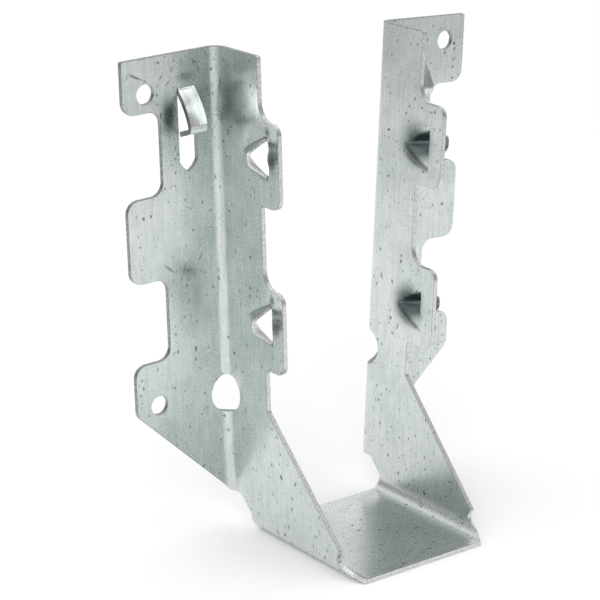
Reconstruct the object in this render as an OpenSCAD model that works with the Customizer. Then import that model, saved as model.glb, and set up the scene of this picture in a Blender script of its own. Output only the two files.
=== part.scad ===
// Face-mount joist hanger, punched and folded from one sheet.
//
// +X runs across the joist, -Y out of the wall towards the room and +Z up. The
// origin is the middle of the seat's upper face, where the joist bears. The
// modules work from the header plane (y = 0, the back of the nailing flanges)
// and the whole hanger is moved to that origin at the end.
//
// The two sides differ in their levels, so that nails driven from one side pass
// those from the other. Values in pairs are [left, right].

/* [Sheet] */
// Thickness of the sheet
sheet = 1.2; // [0.8:0.1:2]
// Inside radius of the bends between side plate and flange
flange_bend_r = 2.4; // [1:0.1:4]
// Inside radius of the bends between seat and side plate
seat_bend_r = 3; // [1:0.1:4]

/* [Joist pocket] */
// Width between the side plates where they rise out of the seat bends
pocket_w = 39.9; // [38:0.1:46]
// Height of the hanger above the seat
height = 120.65; // [118:0.05:130]
// Distance from the header plane to the front lip of the seat
seat_front = 50.8; // [48:0.1:60]
// Distance from the header plane to the back edge of the seat
seat_back = 9.4; // [8:0.1:12]
// Angle by which each side plate leans outwards, in degrees
side_lean = [1.8, 2.5]; // [0:0.1:5]

/* [Flanges] */
// Distance from the middle to the outer edge of a flange
flange_edge = 47.7; // [46:0.1:52]
// Distance from the middle to the bottom of the flange notches
notch_edge = 37.5; // [36:0.1:40]
// Level of the upper end of the top notch
notch_top = [107.7, 103.3]; // [100:0.1:110]
// Height of a notch, and of the tab between two notches
notch_h = 20.4; // [18:0.1:21]
// Level at which the flange's lower diagonal meets its outer edge
diagonal_level = [33.7, 32.6]; // [30:0.1:35]
// Radius of the corners of the notches
notch_r = 3.2; // [1:0.1:4]

/* [Nail holes] */
// Diameter of a nail hole
nail_d = 4.8; // [4:0.1:5.5]
// Distance of the nail holes from the middle
nail_x = 41.4; // [40:0.1:43]
// Level of the upper nail hole
nail_top = [112.2, 114.3]; // [111:0.1:115]
// Distance between the nail holes of one flange
nail_pitch = 77; // [75:0.1:78]

/* [Side plates] */
// Distance from the header plane to the plate's front edge
plate_front = 17.3; // [16:0.1:18]
// Distance from the header plane to the front of the plate's tabs
tab_front = [24.6, 26.4]; // [24:0.1:28]
// Level of the top of the upper tab
tab_top = [105.5, 103.4]; // [102:0.1:107]
// Height of a tab
tab_h = 20.5; // [18:0.1:21]
// Distance from one tab to the next, and from one dome to the next
tab_pitch = 41; // [40:0.1:42]
// Level at which the sloping front edge begins
gusset_top = 33; // [30:0.1:35]

/* [Nail domes] */
// Distance from the header plane to a dome's mouth
dome_mouth = [20.2, 21.6]; // [19:0.1:22]
// Level of the middle of the upper dome
dome_level = [97, 92.2]; // [90:0.1:99]
// Height of a dome's mouth along the plate
dome_h = 10.7; // [9:0.1:12]
// Distance by which a dome stands out of the plate
dome_out = 6; // [4:0.1:7]
// Distance from a dome's mouth to its closed end
dome_depth = 9.8; // [8:0.1:10]

/* [Prongs] */
// Distance from the middle to the middle of a prong
prong_x = [30, 30.8]; // [29:0.1:32]
// Width of a prong
prong_w = 4.8; // [4:0.1:5]
// Level of a prong's root
prong_top = 112.3; // [110:0.1:114]
// Angle at a prong's root, in degrees
prong_root_angle = [45, 52]; // [40:1:55]
// How far a prong's point stands out behind the flange
prong_past_back = 1.2; // [0:0.1:3]
// Level of the lower end of the slot that the prong leaves
slot_end = 91.7; // [90:0.1:93]
// Width of that slot
slot_w = 5; // [4.9:0.1:5.5]

/* [Relief holes] */
// Radius of the hole across each flange bend, before folding
relief_r = 4.9; // [4:0.1:5]
// Level of the middle of that hole
relief_level = [33.7, 36.6]; // [33:0.1:38]

/* [Hidden] */
$fn = 72;
STEEL = "lightsteelblue";

ARC_STEPS = 6;        // straight runs in a rounded corner
CUT = 1;              // how far a cutting tool reaches past the sheet
SEAM = 0.002;         // see the seat
LOWER_STEP = 7.5;     // level of the lower end of the flange bend
STEP_REACH = 5.2;     // distance from the header plane to that step's corner
STEP_FOOT = 3.5;      // level at which the slope below that step ends
FRONT_NOTCH = 45.3;   // middle of the bite between gusset and lip, from the header plane
FRONT_NOTCH_R = 2.1;  // radius of that bite
LIP_START = 46.5;     // where the lip begins to taper, from the header plane
LIP_SIDE = 20.6;      // half width of the lip where it begins
LIP_TIP = 18.3;       // half width of the lip at its front corners
ROOT_R = 1.4;         // bends of a prong, along the middle of the sheet
BOW_R = 18.2;
FOLD_R = 1.2;
BOW_ANGLE = 28;       // by how much the bow turns the prong back
TIP_DROP = 18;        // slope of the prong's short leg below the horizontal
PRONG_POINT = 2.6;    // length of the prong's point
DOME_SKEW = 1;        // the top of a dome lies this far above its middle
DOME_ACROSS = 10;     // faces across a dome
DOME_ALONG = 6;       // faces along a dome

seat_mid = (seat_front + seat_back) / 2;
plate_in = pocket_w / 2;
plate_out = plate_in + sheet;
// The bend's centre line lies in front of the flange and outside the plate.
bend_x = plate_out + flange_bend_r;
bend_y = sheet + flange_bend_r;
// Half of the bend's length along the middle of the sheet
bend_half = (flange_bend_r + sheet / 2) * PI / 4;

// The seat bend's centre line, about which the side plate leans
seat_bend_x = plate_in - seat_bend_r;

function unit(v) = v / norm(v);

// Points of the arc that rounds corner b, between its neighbours a and c. Each
// corner is [x, y, radius].
function corner_arc(a, b, c) =
    b.z == 0 ? [[b.x, b.y]] :
    let (p = [b.x, b.y],
         d1 = unit([a.x, a.y] - p),
         d2 = unit([c.x, c.y] - p),
         half = acos(d1 * d2) / 2,
         middle = p + unit(d1 + d2) * b.z / sin(half),
         start = p + d1 * b.z / tan(half) - middle,
         turn = cross(d1, d2) > 0 ? 2 * half - 180 : 180 - 2 * half)
    [for (i = [0:ARC_STEPS])
        let (w = turn * i / ARC_STEPS)
        middle + [start.x * cos(w) - start.y * sin(w), start.x * sin(w) + start.y * cos(w)]];

// An outline with its corners rounded
function rounded(path) =
    let (n = len(path))
    [for (i = [0:n - 1]) each corner_arc(path[(i + n - 1) % n], path[i], path[(i + 1) % n])];

// Lays a drawing of x and z down as a slab that runs back from y = 0 to y = -depth.
module across_sheet(depth) {
    rotate([90, 0, 0]) linear_extrude(depth) children();
}

// Lays a drawing of (distance in front of the header plane, level) down as a slab
// from x = from to x = from + depth.
module along_plate(from, depth) {
    translate([from, 0, 0]) mirror([0, 1, 0]) rotate([90, 0, 90]) linear_extrude(depth) children();
}

// Outline of a flange with its bend, seen from the front
module flange_outline(side) {
    top = notch_top[side];
    low = diagonal_level[side];
    slope = flange_edge - low;
    polygon(rounded([
        [plate_in - CUT, LOWER_STEP, 0],
        [LOWER_STEP + slope, LOWER_STEP, 0],
        [flange_edge, low, notch_r],
        [flange_edge, top - notch_h - tab_pitch, notch_r],
        [notch_edge, top - notch_h - tab_pitch, notch_r],
        [notch_edge, top - tab_pitch, notch_r],
        [flange_edge, top - tab_pitch, notch_r],
        [flange_edge, top - notch_h, notch_r],
        [notch_edge, top - notch_h, notch_r],
        [notch_edge, top, notch_r],
        [flange_edge, top, notch_r],
        [flange_edge, height, 2],
        [plate_in - CUT, height, 0],
    ]));
}

// Outline of a side plate's flat, as (distance in front of the header plane, level)
module plate_outline(side) {
    front = tab_front[side];
    top = tab_top[side];
    slope = plate_front + gusset_top;
    polygon(rounded([
        [seat_back, STEP_FOOT, 0],
        [seat_back, seat_bend_r, 0],
        [FRONT_NOTCH, seat_bend_r, 0],
        [FRONT_NOTCH, slope - FRONT_NOTCH, 0],
        [plate_front, gusset_top, 1],
        [plate_front, top - tab_pitch - tab_h, 1],
        [front, top - tab_pitch - tab_h, 2.8],
        [front, top - tab_pitch, 2.6],
        [plate_front, top - tab_pitch, 4.4],
        [plate_front, top - tab_h, 1],
        [front, top - tab_h, 2.8],
        [front, top, 2.6],
        [plate_front, top, 4.4],
        [plate_front, height, 1],
        [bend_y, height, 0],
        [bend_y, LOWER_STEP, 0],
        [STEP_REACH, LOWER_STEP, 0.8],
    ]));
}

// Outline of the seat's front and lip, seen from above, as (x, distance in front
// of the header plane)
module seat_outline() {
    side = plate_out + CUT;
    polygon(rounded([
        [-side, seat_back - CUT, 0],
        [side, seat_back - CUT, 0],
        [side, LIP_START, 0],
        [LIP_SIDE, LIP_START, 0],
        [LIP_TIP, seat_front, 1.2],
        [-LIP_TIP, seat_front, 1.2],
        [-LIP_SIDE, LIP_START, 0],
        [-side, LIP_START, 0],
    ]));
}

// A flange and the bend that joins it to its side plate, both upright
module flange(side) {
    intersection() {
        union() {
            translate([bend_x, -sheet, 0]) cube([flange_edge, sheet, height]);
            translate([bend_x, -bend_y, 0])
                rotate([0, 0, 90]) rotate_extrude(angle = 90)
                    translate([flange_bend_r, 0]) square([sheet, height]);
        }
        across_sheet(bend_y + CUT) flange_outline(side);
    }
}

// The flat of a side plate, upright
module plate(side) {
    along_plate(plate_in, sheet) plate_outline(side);
}

// Leans its children outwards about the centre line of the seat bend
module lean(side) {
    translate([seat_bend_x, 0, seat_bend_r])
        rotate([0, side_lean[side], 0])
            translate([-seat_bend_x, 0, -seat_bend_r]) children();
}

// The bend between the seat and one side plate, with its front end left long
module seat_bend(side) {
    lean(side) translate([seat_bend_x, -seat_front - CUT, seat_bend_r])
        rotate([-90, 0, 0]) rotate_extrude(angle = 90 - side_lean[side])
            translate([seat_bend_r, 0]) square([sheet, seat_front - seat_back + CUT]);
}

// The seat with the two bends that turn it up into the side plates. Its flat ends
// just inside the bends and is SEAM less than them all round, so that no face of
// one runs along a face of the other.
module seat() {
    flat_x = seat_bend_x + 25 * SEAM;
    intersection() {
        union() {
            translate([-flat_x, -seat_front - CUT, SEAM - sheet])
                cube([2 * flat_x, seat_front - seat_back + CUT - SEAM, sheet - 2 * SEAM]);
            for (side = [0, 1]) mirror([1 - side, 0, 0]) seat_bend(side);
        }
        translate([0, 0, -sheet - CUT])
            mirror([0, 1, 0]) linear_extrude(2 * seat_bend_r + sheet + CUT) seat_outline();
    }
}

// The tool that cuts the bite between the gusset and the lip
module front_notch() {
    translate([seat_bend_x, -FRONT_NOTCH, seat_bend_r + 0.4])
        rotate([0, 90, 0]) cylinder(r = FRONT_NOTCH_R, h = 2 * seat_bend_r + CUT);
}

// Where a point of the flat sheet comes to lie once the flange bend is made. s is
// its distance from the middle of the bend, positive towards the flange, and depth
// its depth from the concave face.
function folded(s, z, depth) =
    let (turn = 45 * s / bend_half,
         r = flange_bend_r + depth)
    abs(s) <= bend_half ?
        [bend_x - r * sin(45 - turn), -bend_y + r * cos(45 - turn), z] :
    s > 0 ?
        [bend_x + s - bend_half, -bend_y + r, z] :
        [bend_x - r, -bend_y + s + bend_half, z];

// The tool for a hole that was punched round in the flat sheet, across the
// flange bend, and was folded with it
module relief_hole(side) {
    steps = 28;
    points = [for (i = [0:steps])
        let (w = 180 * i / steps,
             s = -relief_r * cos(w),
             h = max(relief_r * sin(w), 0.01))
        each [folded(s, relief_level[side] - h, -CUT), folded(s, relief_level[side] + h, -CUT),
              folded(s, relief_level[side] + h, sheet + CUT),
              folded(s, relief_level[side] - h, sheet + CUT)]];
    walls = [for (i = [0:steps - 1], k = [0:3])
        let (a = 4 * i + k, b = 4 * i + (k + 1) % 4)
        each [[a, b, b + 4], [a, b + 4, a + 4]]];
    last = 4 * steps;
    polyhedron(points, concat([[3, 2, 1, 0], [last, last + 1, last + 2, last + 3]], walls));
}

// Outline of a dome's section across the plate, from one side of it to the other
function dome_arch(u) = pow(1 - pow(abs(u), 1.7), 1.1);

// One section of a dome, at the fraction s of the way from its mouth to its closed
// end, shrunk by the given thickness. The foot lies inside the plate.
function dome_section(s, shrink) =
    let (half = (dome_h / 2 - shrink * 0.9) * pow(1 - s * s, 0.6),
         out = (dome_out + sheet - shrink * 1.1) * pow(1 - pow(s, 1.4), 0.9))
    [for (i = [0:DOME_ACROSS])
        let (u = 2 * i / DOME_ACROSS - 1, arch = dome_arch(u))
        [out * arch, DOME_SKEW * arch + half * u]];

// The solid under a dome's skin: sections from the mouth to the closed end, which
// is drawn almost to a point
module dome_solid(shrink, reach) {
    n = DOME_ACROSS + 1;
    rows = DOME_ALONG;
    points = [for (j = [-1:rows])
        let (s = j < 0 ? 0 : 0.97 * j / rows,
             y = j < 0 ? -reach : s * (dome_depth - shrink))
        for (p = dome_section(s, shrink)) [p.x, y, p.y]];
    skin = [for (j = [0:rows], i = [0:n - 1])
        let (a = j * n + i, b = j * n + (i + 1) % n)
        each [[a, b, b + n], [a, b + n, a + n]]];
    mouth = [for (i = [n - 1:-1:0]) i];
    end = [for (i = [0:n - 1]) (rows + 1) * n + i];
    polyhedron(points, concat([mouth, end], skin));
}

// Puts its children at each dome of one side
module at_domes(side) {
    for (i = [0, 1])
        translate([plate_in, -dome_mouth[side], dome_level[side] - i * tab_pitch]) children();
}

// The middle line of a bent strip, as [distance in front of the header plane,
// level, heading], where heading 0 is straight down and 90 straight forward. Each
// turn is [angle, radius]; a negative angle turns back.
function strip_line(turns, from, k = 0) =
    k == len(turns) ? [from] :
    let (angle = turns[k].x,
         r = sign(angle) * turns[k].y,
         w0 = from.z,
         points = [for (i = [0:ARC_STEPS])
             let (w = w0 + angle * i / ARC_STEPS)
             [from.x + r * (cos(w0) - cos(w)), from.y - r * (sin(w) - sin(w0)), w]])
    concat([for (i = [0:ARC_STEPS - 1]) points[i]], strip_line(turns, points[ARC_STEPS], k + 1));

// A point beside a middle line's point, by a signed distance towards the front
function beside(p, distance) = [p.x + distance * cos(p.z), p.y + distance * sin(p.z)];

// Outline of a prong or of its slot, from y = 0 down to its point
module pointed(width, length) {
    half = width / 2;
    polygon([
        [-half, 0], [half, 0],
        [half, PRONG_POINT - length], [half * 0.6, PRONG_POINT * 0.45 - length],
        [0, -length],
        [-half * 0.6, PRONG_POINT * 0.45 - length], [-half, PRONG_POINT - length],
    ]);
}

// The prong that is pushed out of the flange, bowed and folded back through its slot
module prong(side) {
    root = prong_root_angle[side];
    bent = strip_line(
        [[root, ROOT_R], [-BOW_ANGLE, BOW_R], [BOW_ANGLE - root - 90 + TIP_DROP, FOLD_R]],
        [sheet / 2, prong_top, 0]);
    fold = bent[len(bent) - 1];
    leg = (fold.x + prong_past_back + CUT) / cos(TIP_DROP);
    strip = concat(bent, [[fold.x + leg * sin(fold.z), fold.y - leg * cos(fold.z), fold.z]]);
    intersection() {
        along_plate(prong_x[side] - prong_w, 2 * prong_w) polygon(concat(
            [for (p = strip) beside(p, sheet / 2)],
            [for (i = [len(strip) - 1:-1:0]) beside(strip[i], -sheet / 2)]));
        translate([prong_x[side], prong_past_back - plate_front, slot_end])
            linear_extrude(height - slot_end) rotate(180) pointed(prong_w, plate_front);
    }
}

// The slot that the prong was cut from
module prong_slot(side) {
    translate([prong_x[side], CUT, prong_top])
        across_sheet(sheet + 2 * CUT) pointed(slot_w, prong_top - slot_end);
}

// The nail holes of one flange
module nail_holes(side) {
    for (i = [0, 1])
        translate([nail_x, CUT, nail_top[side] - i * nail_pitch])
            rotate([90, 0, 0]) cylinder(d = nail_d, h = sheet + 2 * CUT);
}

// Everything of one side above its seat bend, built upright on the +X side
module side_sheet(side) {
    difference() {
        union() {
            flange(side);
            plate(side);
            at_domes(side) dome_solid(0, 0);
        }
        at_domes(side) dome_solid(sheet, CUT / 4);
        nail_holes(side);
        relief_hole(side);
        prong_slot(side);
    }
    prong(side);
}

module joist_hanger() {
    color(STEEL) translate([0, seat_mid, 0]) difference() {
        union() {
            seat();
            for (side = [0, 1]) mirror([1 - side, 0, 0]) lean(side) side_sheet(side);
        }
        for (side = [0, 1]) mirror([1 - side, 0, 0]) front_notch();
    }
}

joist_hanger();
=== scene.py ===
"""Face-mount joist hanger, drawn as the press makes it: a blank is cut flat and then folded.

The blank lies in the plane of the seat. +X runs across the joist, -Y points into the room
and +Z up. Sizes are in millimetres until the mesh is scaled to metres at the end.
"""

import logging
import math
from dataclasses import dataclass, field
from enum import Enum

import bpy
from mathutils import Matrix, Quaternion, Vector, geometry


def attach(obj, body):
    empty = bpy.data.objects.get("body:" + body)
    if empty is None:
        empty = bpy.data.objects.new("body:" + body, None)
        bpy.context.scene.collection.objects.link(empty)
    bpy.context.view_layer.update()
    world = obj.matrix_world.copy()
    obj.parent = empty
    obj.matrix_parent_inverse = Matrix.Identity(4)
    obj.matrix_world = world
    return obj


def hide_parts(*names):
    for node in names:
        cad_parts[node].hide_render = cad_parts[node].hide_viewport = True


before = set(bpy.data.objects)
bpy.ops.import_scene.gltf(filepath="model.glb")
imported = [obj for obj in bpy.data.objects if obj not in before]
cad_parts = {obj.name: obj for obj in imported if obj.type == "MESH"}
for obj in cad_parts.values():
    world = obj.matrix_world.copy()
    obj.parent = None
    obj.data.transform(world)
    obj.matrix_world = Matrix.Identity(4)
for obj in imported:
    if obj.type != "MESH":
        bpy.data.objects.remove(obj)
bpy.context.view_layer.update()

LOG = logging.getLogger("joist_hanger")
MM = 0.001
Point = tuple[float, float]
Point3 = tuple[float, float, float]


class Side(Enum):
    """The two sides of the hanger, by the sign of their X."""

    LEFT = -1
    RIGHT = 1


@dataclass(frozen=True)
class Corner:
    """A corner of an outline on the blank, with the radius that rounds it."""

    across: float
    forward: float
    radius: float = 0.0

    @property
    def at(self) -> Vector:
        """The corner as a point of the blank."""
        return Vector((self.across, self.forward))


@dataclass(frozen=True)
class Levels:
    """The sizes in which the two sides of the hanger differ."""

    lean: float
    notch_top: float
    diagonal: float
    nail_top: float
    tab_front: float
    tab_top: float
    dome_mouth: float
    dome_level: float
    prong_x: float
    prong_root_angle: float
    relief: float


LEVELS: dict[Side, Levels] = {
    Side.LEFT: Levels(
        lean=1.8, notch_top=107.7, diagonal=33.7, nail_top=112.2, tab_front=24.6,
        tab_top=105.5, dome_mouth=20.2, dome_level=97.0, prong_x=30.0,
        prong_root_angle=45.0, relief=33.7,
    ),
    Side.RIGHT: Levels(
        lean=2.5, notch_top=103.3, diagonal=32.6, nail_top=114.3, tab_front=26.4,
        tab_top=103.4, dome_mouth=21.6, dome_level=92.2, prong_x=30.8,
        prong_root_angle=52.0, relief=36.6,
    ),
}


@dataclass(frozen=True)
class SheetSizes:
    """The sizes that both sides share, in millimetres."""

    sheet: float = 1.2
    flange_bend_r: float = 2.4
    seat_bend_r: float = 3.0
    pocket_w: float = 39.9
    height: float = 120.65
    seat_front: float = 50.8
    seat_back: float = 9.4
    flange_edge: float = 47.7
    notch_edge: float = 37.5
    notch_h: float = 20.4
    notch_r: float = 3.2
    nail_d: float = 4.8
    nail_x: float = 41.4
    nail_pitch: float = 77.0
    plate_front: float = 17.3
    tab_h: float = 20.5
    tab_pitch: float = 41.0
    gusset_top: float = 33.0
    dome_h: float = 10.7
    dome_out: float = 6.0
    dome_depth: float = 9.8
    dome_skew: float = 1.0
    dome_rim: float = 0.35
    dome_heel: float = 0.5
    prong_w: float = 4.8
    prong_top: float = 112.3
    slot_end: float = 91.7
    slot_w: float = 5.0
    relief_r: float = 4.9
    step_level: float = 7.5
    step_reach: float = 5.2
    step_foot: float = 3.5
    step_back: float = 1.14
    top_inset: float = 0.08
    gusset_foot: float = 5.6
    nick: Point = (3.0, 42.9)
    lip: Point = (20.8, 46.5)
    lip_front: float = 18.35

    @property
    def plate_in(self) -> float:
        """Distance from the middle to a side plate's inner face."""
        return self.pocket_w / 2

    @property
    def seat_bend_x(self) -> float:
        """Distance from the middle to the centre line of a seat bend."""
        return self.plate_in - self.seat_bend_r

    @property
    def seat_bend_mid(self) -> float:
        """Radius of a seat bend along the middle of the sheet."""
        return self.seat_bend_r + self.sheet / 2

    @property
    def flange_bend_mid(self) -> float:
        """Radius of a flange bend along the middle of the sheet."""
        return self.flange_bend_r + self.sheet / 2

    @property
    def flange_bend_y(self) -> float:
        """Distance from the header plane to where a flange bend leaves the side plate."""
        return self.sheet + self.flange_bend_r

    @property
    def folded(self) -> float:
        """Place on the blank where a flange bend reaches the flange."""
        return self.flange_bend_y - self.flange_bend_mid * math.pi / 2

    @property
    def seat_mid(self) -> float:
        """Distance from the header plane to the middle of the seat."""
        return (self.seat_front + self.seat_back) / 2

    def across(self, side: Side, level: float) -> float:
        """Distance across the blank, from its middle to a level of a side plate.

        Args:
            side: The side of the hanger.
            level: Height above the seat, with the plate upright.

        Returns:
            The distance along the flat sheet.
        """
        arc = self.seat_bend_mid * math.radians(90 - LEVELS[side].lean)
        return self.seat_bend_x + arc + level - self.seat_bend_r

    def flange(self, x: float) -> float:
        """Place on the flat blank of a point of a flange, as a distance forward.

        Args:
            x: Distance from the middle of the hanger, with the plate upright.

        Returns:
            The distance in front of the header plane before the flange is folded.
        """
        arc = self.flange_bend_mid * math.pi / 2
        bend_x = self.plate_in + self.sheet + self.flange_bend_r
        return self.flange_bend_y - arc - (x - bend_x)


@dataclass(frozen=True)
class ProngBends:
    """How a prong is bent, from its root to its point, along the middle of the sheet."""

    root_r: float = 1.4
    bow_r: float = 18.2
    bow: float = 28.0
    fold_r: float = 1.2
    drop: float = 18.0
    point: float = 2.6
    shoulder_at: float = 0.45
    shoulder_width: float = 0.6
    past_back: float = 1.2

    def turns(self, side: Side) -> list[tuple[float, float]]:
        """Each bend as (radius, angle in degrees), forward first and then back."""
        root = LEVELS[side].prong_root_angle
        return [
            (self.root_r, root), (self.bow_r, -self.bow),
            (self.fold_r, self.bow - root - 90 + self.drop),
        ]

    def length(self, side: Side) -> float:
        """Length of the flat prong, which puts its bent point past_back behind the flange."""
        reach, heading, total = S.sheet / 2, 0.0, 0.0
        for radius, angle in self.turns(side):
            after = heading + math.radians(angle)
            reach += math.copysign(radius, angle) * (math.cos(heading) - math.cos(after))
            total += radius * abs(math.radians(angle))
            heading = after
        end = reach + self.past_back - math.sin(math.radians(self.drop)) * S.sheet / 2
        return total + end / math.cos(math.radians(self.drop))


S = SheetSizes()
PRONG = ProngBends()
ARC_STEP = 0.35
EDGE_STEP = 0.6


def arc_points(before: Vector, corner: Corner, after: Vector) -> list[Vector]:
    """Rounds one corner of an outline.

    Args:
        before: The corner before it.
        corner: The corner to round.
        after: The corner after it.

    Returns:
        The points of the arc, or the corner itself where its radius is 0.
    """
    if corner.radius <= 0:
        return [corner.at]
    one, two = (before - corner.at).normalized(), (after - corner.at).normalized()
    half = math.acos(max(-1.0, min(1.0, one.dot(two)))) / 2
    middle = corner.at + (one + two).normalized() * corner.radius / math.sin(half)
    start = corner.at + one * corner.radius / math.tan(half) - middle
    turn = math.pi - 2 * half
    if one.x * two.y - one.y * two.x > 0:
        turn = -turn
    steps = max(3, round(abs(turn) * corner.radius / ARC_STEP))
    points = []
    for i in range(steps + 1):
        c, s = math.cos(turn * i / steps), math.sin(turn * i / steps)
        points.append(middle + Vector((start.x * c - start.y * s, start.x * s + start.y * c)))
    return points


def finely(outline: list[Vector]) -> list[Vector]:
    """Splits the sides of a closed outline into runs of EDGE_STEP or less."""
    fine: list[Vector] = []
    for i, point in enumerate(outline):
        after = outline[(i + 1) % len(outline)]
        steps = max(1, math.ceil((after - point).length / EDGE_STEP))
        fine += [point.lerp(after, k / steps) for k in range(steps)]
    return fine


def rounded(corners: list[Corner]) -> list[Vector]:
    """Turns corners into a closed outline with rounded corners and short straight runs."""
    count = len(corners)
    outline: list[Vector] = []
    for i, corner in enumerate(corners):
        outline += arc_points(corners[i - 1].at, corner, corners[(i + 1) % count].at)
    return finely(outline)


def circle(middle: Point, radius: float) -> list[Vector]:
    """A round hole's outline on the blank."""
    steps = max(24, round(2 * math.pi * radius / ARC_STEP))
    return [
        Vector((middle[0] + radius * math.cos(2 * math.pi * i / steps),
                middle[1] + radius * math.sin(2 * math.pi * i / steps)))
        for i in range(steps)
    ]


@dataclass
class Blank:
    """The flat sheet, cut to its outline, with its holes, slots and slits.

    A point of the blank is (across, forward): how far it lies from the middle of the seat,
    and how far in front of the header plane.
    """

    fine_grid: float = 0.45
    coarse: int = 3
    slit: float = 0.03
    slit_steps: int = 30
    lip: float = 0.12
    scallop: float = 0.1
    torn_scallop: float = 0.6
    rim_cell: float = 0.5
    ridge_at: float = 0.42
    strain_fade: float = 0.6
    outline: list[Vector] = field(default_factory=list)
    holes: list[list[Vector]] = field(default_factory=list)

    def side_corners(self, side: Side) -> list[Corner]:
        """Corners of one side of the outline, from the seat's back edge to its front edge."""
        v = LEVELS[side]

        def at(level: float, forward: float, radius: float = 0.0) -> Corner:
            """A corner at a level of the side plate."""
            return Corner(S.across(side, level), forward, radius)

        outer, inner = S.flange(S.flange_edge), S.flange(S.notch_edge)
        corners = [
            at(S.step_foot, S.seat_back, 0.8),
            at(S.step_level, S.step_reach, 0.8),
            at(S.step_level, S.step_back, 1.0),
            at(v.diagonal, outer, S.notch_r),
        ]
        top = v.notch_top
        for notch in (top - S.tab_pitch, top):
            corners += [
                at(notch - S.notch_h, outer, S.notch_r),
                at(notch - S.notch_h, inner, S.notch_r),
                at(notch, inner, S.notch_r),
                at(notch, outer, S.notch_r),
            ]
        corners += [
            at(S.height, outer + S.top_inset, 0.45),
            at(S.height, S.plate_front, 0.6),
        ]
        for tab in (v.tab_top, v.tab_top - S.tab_pitch):
            corners += [
                at(tab, S.plate_front, 4.4),
                at(tab, v.tab_front, 2.6),
                at(tab - S.tab_h, v.tab_front, 2.8),
                at(tab - S.tab_h, S.plate_front, 1.0),
            ]
        corners += [
            at(S.gusset_top, S.plate_front, 1.0),
            at(S.gusset_foot, S.plate_front + S.gusset_top - S.gusset_foot, 0.5),
            at(*S.nick, 1.5),
            Corner(*S.lip, 0.7),
            Corner(S.lip_front, S.seat_front, 1.2),
        ]
        return corners

    def pointed(self, side: Side, width: float, root: float, end: float) -> list[Vector]:
        """Outline of a prong or its slot, from its root round its point and back."""
        middle = S.flange(LEVELS[side].prong_x)
        half, point = width / 2, PRONG.point
        shoulder, slim = end + point * PRONG.shoulder_at, half * PRONG.shoulder_width
        shape = [
            (root, half), (end + point, half), (shoulder, slim), (end, 0.0),
            (shoulder, -slim), (end + point, -half), (root, -half),
        ]
        return [Vector((S.across(side, level), middle + off)) for level, off in shape]

    def draw(self) -> None:
        """Draws the outline and the holes."""
        right = self.side_corners(Side.RIGHT)
        left = [Corner(-c.across, c.forward, c.radius) for c in self.side_corners(Side.LEFT)]
        self.outline = rounded(right + left[::-1])
        for side in Side:
            v, sign = LEVELS[side], side.value
            drawn = []
            for level in (v.nail_top, v.nail_top - S.nail_pitch):
                drawn.append(circle((S.across(side, level), S.flange(S.nail_x)), S.nail_d / 2))
            fold = S.flange_bend_y - S.flange_bend_mid * math.pi / 4
            drawn.append(circle((S.across(side, v.relief), fold), S.relief_r))
            for level in (v.dome_level, v.dome_level - S.tab_pitch):
                drawn.append(self.dome_slit(side, level))
            drawn.append(self.prong_gap(side))
            self.holes += [[Vector((sign * p.x, p.y)) for p in hole] for hole in drawn]

    def dome_slit(self, side: Side, level: float) -> list[Vector]:
        """The slit along a dome's mouth, as a hole of hardly any width."""
        low, high = level - S.dome_h / 2, level + S.dome_h / 2
        mouth, steps = LEVELS[side].dome_mouth, self.slit_steps
        torn = side is Side.LEFT and level == LEVELS[side].dome_level
        scallop = self.torn_scallop if torn else self.scallop
        front, back = [], []
        for i in range(1, steps):
            spot = S.across(side, low + (high - low) * i / steps)
            wave = 0.5 - 0.5 * math.cos(4 * math.pi * i / steps)
            rough = 0.04 * math.sin(i * 1.9 + level)
            lip = self.slit + self.lip + scallop * wave + rough
            front.append(Vector((spot, mouth + lip)))
            back.append(Vector((spot, mouth - self.slit)))
        ends = [Vector((S.across(side, low), mouth)), Vector((S.across(side, high), mouth))]
        return [ends[0], *front, ends[1], *back[::-1]]

    def prong_gap(self, side: Side) -> list[Vector]:
        """The gap between a prong and its slot, which leaves the prong joined at its root."""
        slot = self.pointed(side, S.slot_w, S.prong_top, S.slot_end)
        prong = self.pointed(side, S.prong_w, S.prong_top, S.prong_top - PRONG.length(side))
        return finely(slot + prong[::-1])

    def spacing(self, across: float, forward: float) -> int:
        """How many steps of the fine grid lie between inner points around a place."""
        size = abs(across)
        side = Side.RIGHT if across > 0 else Side.LEFT
        bend = S.across(side, S.seat_bend_r)
        if S.seat_bend_x - 0.5 < size < bend + 0.5:
            return 1
        if size > bend and S.folded - 0.5 < forward < S.flange_bend_y + 0.5:
            return 1
        v = LEVELS[side]
        for level in (v.dome_level, v.dome_level - S.tab_pitch):
            reach = size - S.across(side, level)
            near = v.dome_mouth - S.dome_depth - 1.5 < forward < v.dome_mouth + 1
            if near and abs(reach) < S.dome_h / 2 + 2:
                return 1
        low, high = S.across(side, S.slot_end), S.across(side, S.prong_top + 1.5)
        if low < size < high and abs(forward - S.flange(v.prong_x)) < S.slot_w / 2 + 0.5:
            return 1
        return self.coarse

    def inner_points(self) -> list[Vector]:
        """Points inside the blank, closer together where it is folded or stamped."""
        wide = max(p.x for p in self.outline)
        back = min(p.y for p in self.outline)
        loops, width = [self.outline, *self.holes], self.rim_cell
        rim = {(round(p.x / width), round(p.y / width)) for loop in loops for p in loop}
        points = []
        step = self.fine_grid
        columns = int(wide / step) + 1
        rows = int((S.seat_front - back) / step) + 1
        for i in range(-columns, columns + 1):
            for j in range(rows):
                x, y = i * step, back + j * step
                if (i % self.coarse or j % self.coarse) and self.spacing(x, y) > 1:
                    continue
                cell = (round(x / width), round(y / width))
                if any((cell[0] + a, cell[1] + b) in rim for a in (-1, 0, 1) for b in (-1, 0, 1)):
                    continue
                points.append(Vector((x, y)))
        return points

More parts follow.
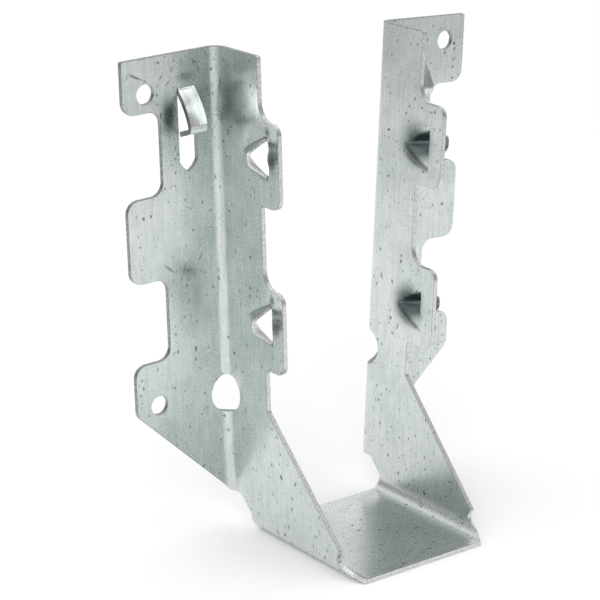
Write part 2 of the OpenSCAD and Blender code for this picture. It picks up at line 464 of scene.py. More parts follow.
    def strain(self, across: float, forward: float) -> float:
        """How much a bend cracks the zinc at a place, from 0 to 1; the same share places a painted
        highlight along the bends.
        """
        size = abs(across)
        side = Side.RIGHT if across > 0 else Side.LEFT

        def band(value: float, low: float, high: float) -> float:
            """1 from low to high, fading to 0 on both sides."""
            rise = (value - low) / self.strain_fade + 1
            fall = (high - value) / self.strain_fade + 1
            return max(0.0, min(1.0, rise, fall))

        plate = S.across(side, S.seat_bend_r)
        seat = band(size, S.seat_bend_x, plate)
        ridge = S.folded + (S.flange_bend_y - S.folded) * self.ridge_at
        flange = band(forward, ridge - 0.2, ridge + 0.2) if size > plate else 0.0
        return max(seat, flange)

    def dome(self, across: float, forward: float) -> float:
        """How far a place is drawn out into a dome, from 0 to 1."""
        size = abs(across)
        side = Side.RIGHT if across > 0 else Side.LEFT
        v, found = LEVELS[side], 0.0
        for level in (v.dome_level, v.dome_level - S.tab_pitch):
            off = (size - S.across(side, level)) / (S.dome_h / 2)
            back = (v.dome_mouth - forward) / S.dome_depth
            if 0 < back < 1:
                found = max(found, 2 * (1 - off * off - back * back))
        return min(1.0, found)

    def in_prong(self, side: Side, across: float, forward: float) -> bool:
        """Whether a point of the blank belongs to a side's prong."""
        if across * side.value < 0:
            return False
        level = S.prong_top - (S.across(side, S.prong_top) - abs(across))
        end = S.prong_top - PRONG.length(side)
        if not end - 0.01 <= level <= S.prong_top:
            return False
        past, knee, slim = (level - end) / PRONG.point, PRONG.shoulder_at, PRONG.shoulder_width
        if past < knee:
            share = past / knee * slim
        else:
            share = min(1.0, slim + (past - knee) / (1 - knee) * (1 - slim))
        reach = S.prong_w / 2 * share + 0.02
        return abs(forward - S.flange(LEVELS[side].prong_x)) <= reach

    def mesh(self) -> bpy.types.Mesh:
        """Cuts the blank into triangles.

        Returns:
            A flat mesh in millimetres in the plane Z = -sheet / 2, with its flat
            coordinates as the UV map "blank", and the attributes "strain", "drawn" and
            "prong".
        """
        self.draw()
        verts: list[Vector] = []
        faces: list[list[int]] = []
        for loop in [self.outline, *self.holes]:
            faces.append(list(range(len(verts), len(verts) + len(loop))))
            verts += loop
        verts += self.inner_points()
        points, _, triangles, *_ = geometry.delaunay_2d_cdt(verts, [], faces, 2, 1e-5)
        used = sorted({i for triangle in triangles for i in triangle})
        place = {old: new for new, old in enumerate(used)}
        mesh = bpy.data.meshes.new("blank")
        mesh.from_pydata(
            [(points[i].x, -points[i].y, -S.sheet / 2) for i in used], [],
            [[place[i] for i in triangle[::-1]] for triangle in triangles],
        )
        strain = mesh.attributes.new("strain", "FLOAT", "POINT")
        drawn = mesh.attributes.new("drawn", "FLOAT", "POINT")
        prong = mesh.attributes.new("prong", "INT", "POINT")
        for vertex in mesh.vertices:
            across, forward = vertex.co.x, -vertex.co.y
            strain.data[vertex.index].value = self.strain(across, forward)
            drawn.data[vertex.index].value = self.dome(across, forward)
            for side in Side:
                if self.in_prong(side, across, forward):
                    prong.data[vertex.index].value = side.value
        flat = mesh.uv_layers.new(name="blank")
        for loop in mesh.loops:
            co = mesh.vertices[loop.vertex_index].co
            flat.uv[loop.index].vector = (co.x / 100, co.y / 100)
        LOG.info("blank: %d points, %d faces", len(mesh.vertices), len(mesh.polygons))
        return mesh


Value = bpy.types.NodeSocket | float | Vector | tuple[float, ...] | bool | str


class Graph:
    """A node tree into which formulas are written.

    Args:
        tree: The node tree, of a material, a world or Geometry Nodes.
    """

    def __init__(self, tree: bpy.types.NodeTree) -> None:
        """Takes up the tree, with no node of its own yet."""
        self.tree = tree
        self.count = 0

    def plug(self, socket: bpy.types.NodeSocket, value: Value) -> None:
        """Links a socket to another one, or gives it a value."""
        if isinstance(value, bpy.types.NodeSocket):
            self.tree.links.new(value, socket)
        else:
            socket.default_value = value

    def node(self, kind: str, inputs: dict[str | int, Value], **options: Value) -> bpy.types.Node:
        """Adds a node with its options set and its inputs plugged."""
        node = self.tree.nodes.new(kind)
        self.count += 1
        node.location = (200 * self.count, 0)
        for name, value in options.items():
            setattr(node, name, value)
        for key, value in inputs.items():
            self.plug(node.inputs[key], value)
        return node

    def calc(self, operation: str, *values: Value) -> bpy.types.NodeSocket:
        """One step of arithmetic."""
        return self.node("ShaderNodeMath", dict(enumerate(values)), operation=operation).outputs[0]

    def vector(self, operation: str, *values: Value) -> bpy.types.NodeSocket:
        """One step of vector arithmetic. SCALE takes a vector and a number."""
        if operation == "SCALE":
            inputs = {0: values[0], "Scale": values[1]}
        else:
            inputs = dict(enumerate(values))
        node = self.node("ShaderNodeVectorMath", inputs, operation=operation)
        return node.outputs["Value" if operation in ("DOT_PRODUCT", "LENGTH") else "Vector"]

    def ramp(self, value: Value, low: float, high: float, start: float, end: float
             ) -> bpy.types.NodeSocket:
        """Takes a value from the range low to high smoothly to the range start to end."""
        return self.node(
            "ShaderNodeMapRange", {0: value, 1: low, 2: high, 3: start, 4: end},
            interpolation_type="SMOOTHSTEP",
        ).outputs[0]


class Tree(Graph):
    """A Geometry Nodes tree.

    Args:
        name: The tree's name.
    """

    def __init__(self, name: str) -> None:
        """Makes the tree, with a geometry input and a geometry output."""
        super().__init__(bpy.data.node_groups.new(name, "GeometryNodeTree"))
        self.enter = self.tree.nodes.new("NodeGroupInput")
        self.leave = self.tree.nodes.new("NodeGroupOutput")
        self.geometry = self.takes("Geometry", "Geometry")
        self.tree.interface.new_socket(
            "Geometry", in_out="OUTPUT", socket_type="NodeSocketGeometry"
        )

    def takes(self, name: str, kind: str, default: Value | None = None) -> bpy.types.NodeSocket:
        """Adds an input to the tree and returns its socket inside."""
        item = self.tree.interface.new_socket(
            name, in_out="INPUT", socket_type="NodeSocket" + kind
        )
        if default is not None:
            item.default_value = default
        return self.enter.outputs[name]

    def position(self) -> bpy.types.NodeSocket:
        """The place of each point."""
        return self.node("GeometryNodeInputPosition", {}).outputs[0]

    def move(self, offset: Value, selection: Value = True) -> None:
        """Moves the selected points of the geometry by an offset."""
        moved = self.node(
            "GeometryNodeSetPosition",
            {"Geometry": self.geometry, "Offset": offset, "Selection": selection},
        )
        self.geometry = moved.outputs[0]

    def group(self, other: "Tree", inputs: dict[str | int, Value]) -> None:
        """Sends the geometry through another tree."""
        node = self.node("GeometryNodeGroup", {}, node_tree=other.tree)
        self.plug(node.inputs["Geometry"], self.geometry)
        for key, value in inputs.items():
            self.plug(node.inputs[key], value)
        self.geometry = node.outputs["Geometry"]

    def close(self) -> None:
        """Sends the geometry out of the tree."""
        self.plug(self.leave.inputs[0], self.geometry)


def bend_tree() -> Tree:
    """The tree that bends a sheet about a line, and turns what lies beyond it.

    Lengths along the sheet are kept at Radius from the bend's centre line.
    """
    t = Tree("Bend")
    origin = t.takes("Origin", "Vector")
    along = t.takes("Along", "Vector")
    normal = t.takes("Normal", "Vector")
    radius = t.takes("Radius", "Float")
    angle = t.takes("Angle", "Float")
    selection = t.takes("Selection", "Bool", True)
    d = t.vector("SUBTRACT", t.position(), origin)
    run = t.vector("DOT_PRODUCT", d, along)
    depth = t.vector("DOT_PRODUCT", d, normal)
    turned = t.calc("MINIMUM", t.calc("MAXIMUM", t.calc("DIVIDE", run, radius), 0.0), angle)
    rest = t.calc("SUBTRACT", run, t.calc("MULTIPLY", turned, radius))
    arm = t.calc("SUBTRACT", radius, depth)
    sine, cosine = t.calc("SINE", turned), t.calc("COSINE", turned)
    forward = t.calc("ADD", t.calc("MULTIPLY", arm, sine), t.calc("MULTIPLY", rest, cosine))
    rise = t.calc(
        "ADD",
        t.calc("SUBTRACT", radius, t.calc("MULTIPLY", arm, cosine)),
        t.calc("MULTIPLY", rest, sine),
    )
    t.move(
        t.vector(
            "ADD",
            t.vector("SCALE", along, t.calc("SUBTRACT", forward, run)),
            t.vector("SCALE", normal, t.calc("SUBTRACT", rise, depth)),
        ),
        selection,
    )
    t.close()
    return t


def stamp_tree() -> Tree:
    """The tree that presses one nail dome out of the flat sheet, towards -Z.

    Its mouth has straight flanks and a soft top, and it falls away to its closed end.
    """
    t = Tree("Stamp")
    centre = t.takes("Centre", "Vector")
    upward = t.takes("Upward", "Float")
    half = t.takes("Half width", "Float")
    depth = t.takes("Depth", "Float")
    out = t.takes("Out", "Float")
    skew = t.takes("Skew", "Float")
    d = t.vector("SUBTRACT", t.position(), centre)
    parts = t.node("ShaderNodeSeparateXYZ", {0: d}).outputs
    back = t.calc("DIVIDE", parts["Y"], depth)
    behind = t.calc("GREATER_THAN", back, 0.0)
    back = t.calc("MINIMUM", t.calc("MAXIMUM", back, 0.0), 1.0)
    narrow = t.calc("POWER", t.calc("SUBTRACT", 1.0, back), 0.7)
    wide = t.calc("MAXIMUM", t.calc("MULTIPLY", half, narrow), 0.001)
    off = t.calc("MINIMUM", t.calc("DIVIDE", t.calc("ABSOLUTE", parts["X"]), wide), 1.0)
    arch = t.calc("SMOOTH_MIN", t.calc("DIVIDE", t.calc("SUBTRACT", 1.0, off), 0.72), 1.0, 0.3)
    fall = t.calc("POWER", t.calc("SUBTRACT", 1.0, back), 1.2)
    shape = t.calc("MULTIPLY", t.calc("MULTIPLY", arch, fall), behind)
    lift = t.calc("MULTIPLY", shape, t.calc("MULTIPLY", out, -1.0))
    lean = t.calc("MULTIPLY", shape, t.calc("MULTIPLY", skew, upward))
    t.move(t.node("ShaderNodeCombineXYZ", {"X": lean, "Z": lift}).outputs[0])
    t.close()
    return t


@dataclass
class Press:
    """The tree that stamps the blank and folds it up into the hanger."""

    material: bpy.types.Material

    def tree(self) -> Tree:
        """Builds the tree. Its inputs are the sizes of the tools."""
        bend, stamp = bend_tree(), stamp_tree()
        t = Tree("Press")
        out = t.takes("Dome out", "Float")
        flange_r = t.takes("Flange bend radius", "Float")
        seat_r = t.takes("Seat bend radius", "Float")
        lean = {
            Side.LEFT: t.takes("Left lean", "Float"),
            Side.RIGHT: t.takes("Right lean", "Float"),
        }
        back = t.takes("Seat middle", "Float")
        mid = -S.sheet / 2
        for side in Side:
            v = LEVELS[side]
            for level in (v.dome_level, v.dome_level - S.tab_pitch):
                t.group(stamp, {
                    "Centre": (side.value * S.across(side, level), -v.dome_mouth, mid),
                    "Upward": float(side.value), "Half width": S.dome_h / 2 - S.dome_rim,
                    "Depth": S.dome_depth - S.dome_heel, "Out": out, "Skew": S.dome_skew,
                })
            self.bend_prong(t, bend, side)
        t.group(bend, {
            "Origin": (0, -S.flange_bend_y, mid), "Along": (0, 1, 0), "Normal": (0, 0, -1),
            "Radius": flange_r, "Angle": math.pi / 2,
        })
        for side in Side:
            t.group(bend, {
                "Origin": (side.value * S.seat_bend_x, 0, mid), "Along": (side.value, 0, 0),
                "Normal": (0, 0, 1), "Radius": seat_r,
                "Angle": t.calc("SUBTRACT", math.pi / 2, t.calc("RADIANS", lean[side])),
            })
        t.move(t.node("ShaderNodeCombineXYZ", {"Y": back}).outputs[0])
        small = t.node("GeometryNodeTransform", {"Geometry": t.geometry, "Scale": (MM, MM, MM)})
        real = t.node("GeometryNodeRealizeInstances", {"Geometry": small.outputs[0]})
        finish = t.node("GeometryNodeSetMaterial", {"Geometry": real.outputs[0]})
        finish.inputs["Material"].default_value = self.material
        t.geometry = finish.outputs[0]
        t.close()
        return t

    def bend_prong(self, t: Tree, bend: Tree, side: Side) -> None:
        """Bends one prong in the flat, from its point back to its root."""
        mark = t.node("GeometryNodeInputNamedAttribute", {"Name": "prong"}, data_type="INT")
        mine = t.node(
            "FunctionNodeCompare", {2: mark.outputs["Attribute"], 3: side.value},
            data_type="INT", operation="EQUAL",
        ).outputs[0]
        turns = PRONG.turns(side)
        for k in range(len(turns) - 1, -1, -1):
            radius, angle = turns[k]
            start = sum(r * abs(math.radians(a)) for r, a in turns[:k])
            root = S.across(side, S.prong_top) - start
            t.group(bend, {
                "Origin": (side.value * root, 0, -S.sheet / 2),
                "Along": (-side.value, 0, 0),
                "Normal": (0, 0, -1 if angle > 0 else 1),
                "Radius": radius, "Angle": abs(math.radians(angle)), "Selection": mine,
            })

    def press(self, blank: bpy.types.Object) -> None:
        """Puts the tree on the blank and sets its inputs."""
        tree = self.tree().tree
        modifier = blank.modifiers.new("press", "NODES")
        modifier.node_group = tree
        values = {
            "Dome out": S.dome_out,
            "Flange bend radius": S.flange_bend_mid,
            "Seat bend radius": S.seat_bend_mid,
            "Left lean": LEVELS[Side.LEFT].lean,
            "Right lean": LEVELS[Side.RIGHT].lean,
            "Seat middle": S.seat_mid,
        }
        for item in tree.interface.items_tree:
            if item.name in values and item.in_out == "INPUT":
                modifier[item.identifier] = values[item.name]


Colour = tuple[float, float, float]


@dataclass(frozen=True)
class DarkMark:
    """A soft dark mark, or a thin dark line, at a place on the blank; most of them are painted
    shade.

    The sizes are in millimetres. The mark's length lies across the blank, turned by degrees.
    """

    across: float
    forward: float
    long: float
    wide: float
    strength: float
    turn: float = 0.0


PAINTED_SHADE_AND_SMUDGES = (
    # Painted shade on the top of the left plate by the flange bend, and on the left flange beside
    # the prong's slot and root.
    DarkMark(-125.5, -12.6, 6.5, 3.4, 1.2),
    DarkMark(-134.2, -7.6, 1.8, 4.0, 0.5),
    DarkMark(-127.5, -4.0, 5.0, 2.0, 0.5),
    DarkMark(-128.0, 5.4, 13.0, 3.2, 0.6),
    DarkMark(-124.0, 9.5, 6.0, 4.0, 0.45),
    DarkMark(-132.0, 11.0, 16.0, 12.0, 0.42),
    # Painted shade in the crease above each left dome's slit, and along the front side of the slit.
    DarkMark(-122.9, 20.6, 1.8, 1.5, 0.9),
    DarkMark(-116.0, 22.2, 5.5, 1.5, 0.55),
    DarkMark(-81.9, 20.6, 1.8, 1.5, 0.9),
    DarkMark(-75.5, 22.2, 5.0, 1.4, 0.4),
    # Painted shade inside each left dome, low down by its mouth.
    DarkMark(-113.6, 18.0, 2.8, 2.4, 0.85),
    DarkMark(-72.6, 18.0, 2.8, 2.4, 0.85),
    DarkMark(-79.0, -7.0, 5.0, 3.0, 0.25),
    DarkMark(-87.0, -9.6, 5.0, 3.0, 0.45, -60.0),
    DarkMark(-87.7, -10.0, 2.2, 0.4, 0.6, 20.0),
    DarkMark(-87.0, -9.0, 2.2, 0.4, 0.6, -80.0),
    DarkMark(-88.4, -14.4, 3.2, 0.45, 0.8, -48.0),
    DarkMark(-89.5, -5.4, 1.6, 0.4, 0.7, 35.0),
    # Painted shade in the recesses that the right domes leave on the inner face.
    DarkMark(112.2, 17.0, 7.6, 7.8, 1.5),
    DarkMark(71.2, 17.0, 7.6, 7.8, 1.5),
    # Painted shade: thin dark lines round the root of the left prong.
    DarkMark(-136.2, -21.6, 3.6, 0.5, 0.9, -62.0),
    DarkMark(-135.0, -14.5, 1.3, 0.4, 0.7, 40.0),
    DarkMark(-133.4, -12.6, 1.5, 0.4, 0.7, 55.0),
    DarkMark(-136.4, -11.4, 1.2, 0.5, 0.6, 20.0),
    DarkMark(-137.4, -5.0, 1.8, 0.4, 0.7, -50.0),
    DarkMark(-135.4, -4.0, 1.6, 0.4, 0.6, -20.0),
)


@dataclass(frozen=True)
class GalvanisedSheet:
    """Hot-dipped zinc: cloudy, finely streaked along the sheet, pitted and scratched.

    The left prong carries a painted highlight, and the marks spare both prongs.
    """

    pale: Colour = (0.755, 0.80, 0.78)
    deep: Colour = (0.52, 0.575, 0.555)
    pit_and_painted_shade: Colour = (0.12, 0.15, 0.15)
    crazed_and_highlight: Colour = (0.80, 0.82, 0.76)
    prong_highlight_white: Colour = (0.97, 0.98, 0.975)
    roughness: float = 0.28
    left_prong_gloss: float = 0.09
    streak_length: float = 9.0
    pit_size: float = 2.1

    def make(self) -> bpy.types.Material:
        """Makes the material. Its pattern lies on the flat sheet, and is folded with it."""
        material = bpy.data.materials.new("galvanised sheet")
        material.use_nodes = True
        g = Graph(material.node_tree)
        bsdf = material.node_tree.nodes["Principled BSDF"]
        place = g.vector("SCALE", g.node("ShaderNodeUVMap", {}, uv_map="blank").outputs[0], 100.0)
        long = g.vector("MULTIPLY", place, (1 / self.streak_length, 1.0, 1.0))
        cloud = self.noise(g, place, 0.045, 3.0)
        mottle = self.noise(g, place, 0.42, 3.0)
        streak = self.noise(g, long, 1.1, 4.0)
        grain = self.noise(g, place, 3.2, 2.0)
        tone = g.ramp(cloud, 0.3, 0.7, 0.1, 0.5)
        for layer, low, high in ((mottle, 0.0, 0.2), (streak, -0.16, 0.22), (grain, -0.4, 0.45)):
            tone = g.calc("ADD", tone, g.ramp(layer, 0.3, 0.7, low, high))
        colour = self.mix(g, tone, (*self.deep, 1), (*self.pale, 1))
        strain = g.node("ShaderNodeAttribute", {}, attribute_name="strain").outputs["Fac"]
        # Crazed zinc at the bends, lighter and rougher, which also paints a highlight along each
        # bend.
        craze_and_highlight = g.ramp(self.noise(g, place, 1.8, 4.0), 0.42, 0.6, 0.0, 0.9)
        craze_and_highlight = g.calc("MULTIPLY", craze_and_highlight, g.calc("MULTIPLY", strain, 0.75))
        colour = self.mix(g, craze_and_highlight, colour, (*self.crazed_and_highlight, 1))
        pits = self.pits(g, place)
        colour = self.mix(g, pits, colour, (*self.pit_and_painted_shade, 1))
        signed = g.node("ShaderNodeAttribute", {}, attribute_name="prong").outputs["Fac"]
        prong = g.calc("MINIMUM", g.calc("ABSOLUTE", signed), 1.0)
        # Painted highlight: the left prong is painted near white in streaks, and is glossier than
        # the rest.
        left_prong_highlight = g.calc("MINIMUM", g.calc("MAXIMUM", g.calc("MULTIPLY", signed, -1.0), 0.0), 1.0)
        highlight_streaks = g.ramp(streak, 0.35, 0.5, 0.55, 1.0)
        colour = self.mix(g, g.calc("MULTIPLY", left_prong_highlight, highlight_streaks), colour, (*self.prong_highlight_white, 1))
        elsewhere = g.calc("SUBTRACT", 1.0, prong)
        # Painted shade and dark marks at the listed places, in the pit colour, sparing the prongs.
        for mark in PAINTED_SHADE_AND_SMUDGES:
            share = g.calc("MULTIPLY", self.dark_mark(g, place, mark), elsewhere)
            colour = self.mix(g, share, colour, (*self.pit_and_painted_shade, 1))
        g.plug(bsdf.inputs["Base Color"], colour)
        bsdf.inputs["Metallic"].default_value = 1.0
        rough = g.ramp(grain, 0.3, 0.7, self.roughness - 0.03, self.roughness + 0.03)
        rough = g.calc("ADD", rough, g.calc("MULTIPLY", craze_and_highlight, 0.2))
        rough = g.calc("SUBTRACT", rough, g.calc("MULTIPLY", left_prong_highlight, self.left_prong_gloss))
        g.plug(bsdf.inputs["Roughness"], rough)
        height = g.calc("ADD", g.calc("MULTIPLY", streak, 0.5), g.calc("MULTIPLY", grain, 0.35))
        height = g.calc("SUBTRACT", height, g.calc("MULTIPLY", pits, 0.8))
        height = g.calc("ADD", height, g.calc("MULTIPLY", craze_and_highlight, 1.5))
        bump = g.node("ShaderNodeBump", {"Strength": 0.5, "Distance": 0.03 * MM, "Height": height})
        wave = g.node("ShaderNodeBump", {
            "Strength": 1.0, "Distance": 0.35 * MM, "Height": self.noise(g, place, 0.07, 1.0),
            "Normal": bump.outputs[0],
        })
        g.plug(bsdf.inputs["Normal"], wave.outputs[0])
        return material

    @staticmethod
    def noise(g: Graph, place: Value, scale: float, detail: float) -> bpy.types.NodeSocket:
        """Noise from 0 to 1, with its scale in waves per millimetre."""
        return g.node(
            "ShaderNodeTexNoise", {"Vector": place, "Scale": scale, "Detail": detail}
        ).outputs[0]

    @staticmethod
    def mix(g: Graph, share: Value, one: Value, two: Value) -> bpy.types.NodeSocket:
        """A blend of two colours."""
        node = g.node("ShaderNodeMix", {}, data_type="RGBA", clamp_factor=True)
        g.plug(node.inputs[0], share)
        g.plug(node.inputs[6], one)
        g.plug(node.inputs[7], two)
        return node.outputs[2]

    def pits(self, g: Graph, place: Value) -> bpy.types.NodeSocket:
        """Small dark pits and short scratches, most of them along the sheet."""
        total: Value = 0.0
        for stretch, size, share in (
            ((0.55, 1.0, 1.0), self.pit_size * 0.5, 0.6),
            ((0.5, 1.0, 1.0), self.pit_size * 0.75, 0.5),
            ((0.3, 1.0, 1.0), self.pit_size * 0.85, 0.45),
            ((0.9, 0.5, 1.0), self.pit_size * 1.2, 0.3),
        ):
            bent = place
            for scale, swing in ((0.9, 1.4), (4.5, 0.3)):
                drift = g.node("ShaderNodeTexNoise", {"Vector": place, "Scale": scale}).outputs[1]
                bent = g.vector("ADD", bent, g.vector("SCALE", drift, swing))
            cells = g.node(
                "ShaderNodeTexVoronoi",
                {"Vector": g.vector("MULTIPLY", bent, stretch), "Scale": 1 / size},
            )
            chance = g.node("ShaderNodeSeparateColor", {0: cells.outputs["Color"]}).outputs
            reach = g.ramp(chance[0], 1 - share, 1.0, 0.12 / size, 0.33 / size)
            reach = g.calc("MULTIPLY", reach, g.calc("GREATER_THAN", chance[0], 1 - share))
            deep = g.calc("SUBTRACT", reach, cells.outputs["Distance"])
            mark = g.ramp(deep, 0.0, 0.1 / size, 0.0, 1.0)
            dark = g.ramp(chance[1], 0, 1, 0.2, 1)
            total = g.calc("MAXIMUM", total, g.calc("MULTIPLY", mark, dark))
        return total

    @staticmethod
    def dark_mark(g: Graph, place: Value, mark: DarkMark) -> bpy.types.NodeSocket:
        """The strength of one dark mark at each place."""
        off = g.vector("SUBTRACT", place, (mark.across, -mark.forward, 0.0))
        c, s = math.cos(math.radians(mark.turn)), math.sin(math.radians(mark.turn))
        run = g.vector("DOT_PRODUCT", off, (c / mark.long, s / mark.long, 0.0))
        side = g.vector("DOT_PRODUCT", off, (-s / mark.wide, c / mark.wide, 0.0))
        reach = g.calc("SQRT", g.calc("ADD", g.calc("POWER", run, 2.0), g.calc("POWER", side, 2.0)))
        return g.ramp(reach, 0.0, 1.0, mark.strength, 0.0)


@dataclass(frozen=True)
class ShearedEdge:
    """Steel that was cut through: torn and dark, with a painted highlight along the front edges."""

    bare_steel_and_highlight: Colour = (0.80, 0.81, 0.79)
    torn: Colour = (0.20, 0.215, 0.21)
    front_highlight: float = 0.6
    roughness: float = 0.42

    def make(self) -> bpy.types.Material:
        """Makes the material."""
        material = bpy.data.materials.new("sheared edge")
        material.use_nodes = True
        g = Graph(material.node_tree)
        bsdf = material.node_tree.nodes["Principled BSDF"]
        place = g.node("ShaderNodeTexCoord", {}).outputs["Object"]
        patchy = g.node(
            "ShaderNodeTexNoise", {"Vector": place, "Scale": 1600.0, "Detail": 4.0}
        ).outputs[0]
        flat = g.vector("SCALE", g.node("ShaderNodeUVMap", {}, uv_map="blank").outputs[0], 100.0)
        ahead = g.node("ShaderNodeSeparateXYZ", {0: flat}).outputs["Y"]
        # Painted highlight: the cut edges in front of the plates' front line are painted brighter.
        front_highlight_share = g.ramp(ahead, -17.2, -16.0, self.front_highlight, 0.0)
        colour = GalvanisedSheet.mix(
            g, g.calc("ADD", g.ramp(patchy, 0.3, 0.7, 0.0, 0.4), front_highlight_share),
            (*self.torn, 1), (*self.bare_steel_and_highlight, 1),
        )
        g.plug(bsdf.inputs["Base Color"], colour)
        bsdf.inputs["Metallic"].default_value = 1.0
        bsdf.inputs["Roughness"].default_value = self.roughness
        bump = g.node("ShaderNodeBump", {"Strength": 0.6, "Distance": 0.05 * MM, "Height": patchy})
        g.plug(bsdf.inputs["Normal"], bump.outputs[0])
        return material


@dataclass(frozen=True)
class CornerShade:
    """The narrow corner that a punch rolls along each cut, painted dark as shade."""

    colour: Colour = (0.17, 0.185, 0.18)
    roughness: float = 0.38

    def make(self) -> bpy.types.Material:
        """Makes the material."""
        material = bpy.data.materials.new("painted corner shade")
        material.use_nodes = True
        bsdf = material.node_tree.nodes["Principled BSDF"]
        # Painted shade: one dark colour along every rolled corner of the cuts.
        bsdf.inputs["Base Color"].default_value = (*self.colour, 1)
        bsdf.inputs["Metallic"].default_value = 1.0
        bsdf.inputs["Roughness"].default_value = self.roughness
        return material


@dataclass
class JoistHanger:
    """The folded hanger as one mesh.

    A fully drawn wall keeps the share drawn_gauge of the sheet's thickness, and the cut
    edges are rolled over edge_width millimetres.
    """

    sheet_finish: bpy.types.Material
    edge_finish: bpy.types.Material
    corner_shade_finish: bpy.types.Material
    drawn_gauge: float = 0.55
    edge_width: float = 0.17

    def build(self) -> bpy.types.Object:
        """Cuts, stamps and folds the sheet, and gives it its thickness and rounded edges."""
        mesh = Blank().mesh()
        mesh.materials.append(self.sheet_finish)
        mesh.materials.append(self.edge_finish)
        mesh.materials.append(self.corner_shade_finish)
        mesh.shade_smooth()
        blank = bpy.data.objects.new("hanger_sheet", mesh)
        bpy.context.scene.collection.objects.link(blank)
        gauge = blank.vertex_groups.new(name="gauge")
        for i, drawn in enumerate(mesh.attributes["drawn"].data):
            gauge.add([i], 1 - drawn.value, "REPLACE")
        Press(self.sheet_finish).press(blank)
        skin = blank.modifiers.new("skin", "SOLIDIFY")
        skin.thickness, skin.offset = S.sheet * MM, 0.0
        skin.vertex_group, skin.thickness_vertex_group = "gauge", self.drawn_gauge
        skin.use_even_offset, skin.use_rim = False, True
        skin.material_offset_rim = 1
        edge = blank.modifiers.new("edge", "BEVEL")
        edge.width, edge.segments, edge.material = self.edge_width * MM, 2, 2
        edge.limit_method, edge.angle_limit = "ANGLE", math.radians(40)
        edge.use_clamp_overlap, edge.harden_normals = True, True
        depsgraph = bpy.context.evaluated_depsgraph_get()
        folded = bpy.data.meshes.new_from_object(blank.evaluated_get(depsgraph))
        blank.modifiers.clear()
        blank.data = folded
        LOG.info("hanger: %d points, %d faces", len(folded.vertices), len(folded.polygons))
        return blank


def area_light(name: str, place: Vector, size: Point, power: float) -> None:
    """Adds a soft light that faces the hanger's middle."""
    light = bpy.data.lights.new(name, "AREA")
    light.shape, light.size, light.size_y, light.energy = "RECTANGLE", *size, power
    lamp = bpy.data.objects.new(name, light)
    lamp.location = place
    lamp.rotation_euler = (place - Vector((0, 0, 0.06))).to_track_quat("Z", "Y").to_euler()
    bpy.context.scene.collection.objects.link(lamp)


@dataclass(frozen=True)
class Paper:
    """A sheet of white paper on the table, in metres, turned by degrees."""

    middle: Point
    half: Point
    turn: float

    def past(self, g: Graph, place: Value) -> bpy.types.NodeSocket:
        """How far a place lies past the nearest edge, below 0 on the paper."""
        off = g.vector("SUBTRACT", place, (*self.middle, 0.0))
        c, s = math.cos(math.radians(self.turn)), math.sin(math.radians(self.turn))
        over = [
            g.calc("SUBTRACT", g.calc("ABSOLUTE", g.vector("DOT_PRODUCT", off, axis)), half)
            for axis, half in zip(((c, s, 0.0), (-s, c, 0.0)), self.half)
        ]
        return g.calc("MAXIMUM", *over)


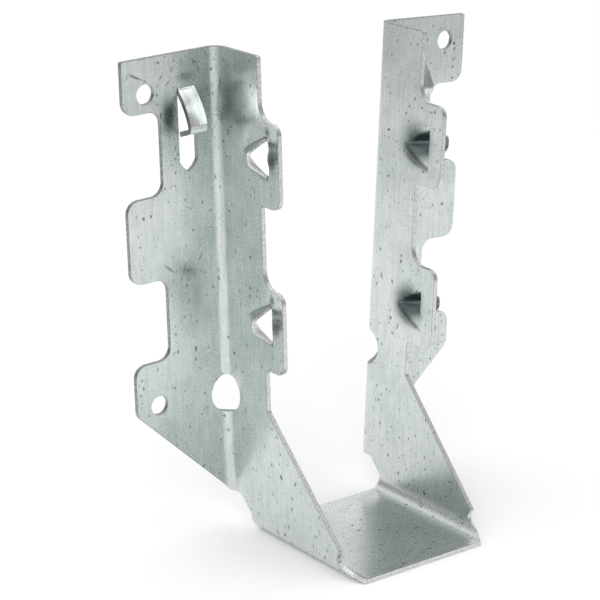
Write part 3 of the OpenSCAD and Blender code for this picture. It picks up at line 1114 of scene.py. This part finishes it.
@dataclass
class Studio:
    """The setting: floor, light and camera. Places and sizes are in metres."""

    target: Point3 = (-0.0119, 0.01025, 0.05991)
    distance: float = 0.52655
    azimuth: float = -37.59
    elevation: float = 18.17
    roll: float = 0.17
    lens: float = 131.92
    shift: Point = (-0.01227, 0.00128)
    fill: float = 1.02
    room: float = 0.34
    panel: float = 0.95
    panel_side: Point3 = (0.35, 0.75, 0.5)
    overhead: float = 1.15
    key: float = 3.5
    key_side: Point3 = (-0.60, -0.62, 0.48)
    key_reach: float = 1.2
    key_size: Point = (0.65, 0.75)
    floor_half: float = 6.0
    floor_white: float = 0.96
    floor_table: float = 0.55
    papers: tuple[Paper, ...] = (
        Paper(middle=(0.03, 0.08), half=(0.25, 0.45), turn=14.0),
        Paper(middle=(0.262, 0.366), half=(0.2, 0.35), turn=-37.59),
    )
    paper_fade: float = 0.09

    def camera(self) -> None:
        """Adds the camera."""
        data = bpy.data.cameras.new("camera")
        data.lens, data.sensor_width = self.lens, 36
        data.shift_x, data.shift_y = self.shift
        data.clip_start, data.clip_end = 0.01, 20
        camera = bpy.data.objects.new("camera", data)
        a, e = math.radians(self.azimuth), math.radians(self.elevation)
        back = Vector((math.sin(a) * math.cos(e), -math.cos(a) * math.cos(e), math.sin(e)))
        camera.location = Vector(self.target) + back * self.distance
        turn = back.to_track_quat("Z", "Y") @ Quaternion((0, 0, 1), math.radians(self.roll))
        camera.rotation_euler = turn.to_euler()
        bpy.context.scene.collection.objects.link(camera)
        bpy.context.scene.camera = camera

    def world(self) -> None:
        """Surrounds the setting with a soft room, which the camera and the metal both see."""
        scene = bpy.context.scene
        scene.world = bpy.data.worlds.new("studio")
        scene.world.use_nodes = True
        g = Graph(scene.world.node_tree)
        room = scene.world.node_tree.nodes["Background"]
        room.inputs["Color"].default_value = (1, 1, 1, 1)
        towards = g.node("ShaderNodeTexCoord", {}).outputs["Generated"]
        panel = g.vector("DOT_PRODUCT", towards, Vector(self.panel_side).normalized())
        height = g.node("ShaderNodeSeparateXYZ", {0: towards}).outputs["Z"]
        soft = g.calc("MAXIMUM", g.ramp(panel, 0.55, 0.85, self.room, self.panel),
                      g.ramp(height, 0.6, 0.85, self.room, self.overhead))
        path = g.node("ShaderNodeLightPath", {}).outputs
        seen = g.calc("MAXIMUM", path["Is Camera Ray"], path["Is Glossy Ray"])
        seen = g.calc("MAXIMUM", seen, path["Is Transmission Ray"])
        beyond = g.calc("SUBTRACT", soft, self.fill)
        light = g.calc("ADD", self.fill, g.calc("MULTIPLY", seen, beyond))
        g.plug(room.inputs["Strength"], light)

    def floor(self) -> None:
        """Lays the floor under the seat: white paper on a grey table."""
        mesh = bpy.data.meshes.new("floor")
        half, level = self.floor_half, -S.sheet * MM
        signs = ((-1, -1), (1, -1), (1, 1), (-1, 1))
        mesh.from_pydata([(x * half, y * half, level) for x, y in signs], [], [(0, 1, 2, 3)])
        floor = bpy.data.objects.new("floor", mesh)
        bpy.context.scene.collection.objects.link(floor)
        material = bpy.data.materials.new("floor")
        material.use_nodes = True
        g = Graph(material.node_tree)
        bsdf = material.node_tree.nodes["Principled BSDF"]
        place = g.node("ShaderNodeTexCoord", {}).outputs["Object"]
        past = g.calc("MINIMUM", *(paper.past(g, place) for paper in self.papers))
        tone = g.ramp(past, 0.0, self.paper_fade, self.floor_white, self.floor_table)
        grey = g.node("ShaderNodeCombineColor", {0: tone, 1: tone, 2: tone})
        g.plug(bsdf.inputs["Base Color"], grey.outputs[0])
        bsdf.inputs["Roughness"].default_value = 1.0
        bsdf.inputs["Specular IOR Level"].default_value = 0.0
        mesh.materials.append(material)

    def build(self) -> None:
        """Builds the setting."""
        bpy.context.scene.view_settings.view_transform = "Standard"
        self.world()
        self.floor()
        area_light("key", Vector(self.key_side) * self.key_reach, self.key_size, self.key)
        self.camera()


def main() -> None:
    """Builds the hanger and its setting."""
    logging.basicConfig(level=logging.INFO, format="%(message)s")
    finishes = GalvanisedSheet().make(), ShearedEdge().make(), CornerShade().make()
    hanger = JoistHanger(*finishes).build()
    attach(hanger, "root")
    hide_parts("joist_hanger")
    Studio().build()


if __name__ == "__main__":
    main()
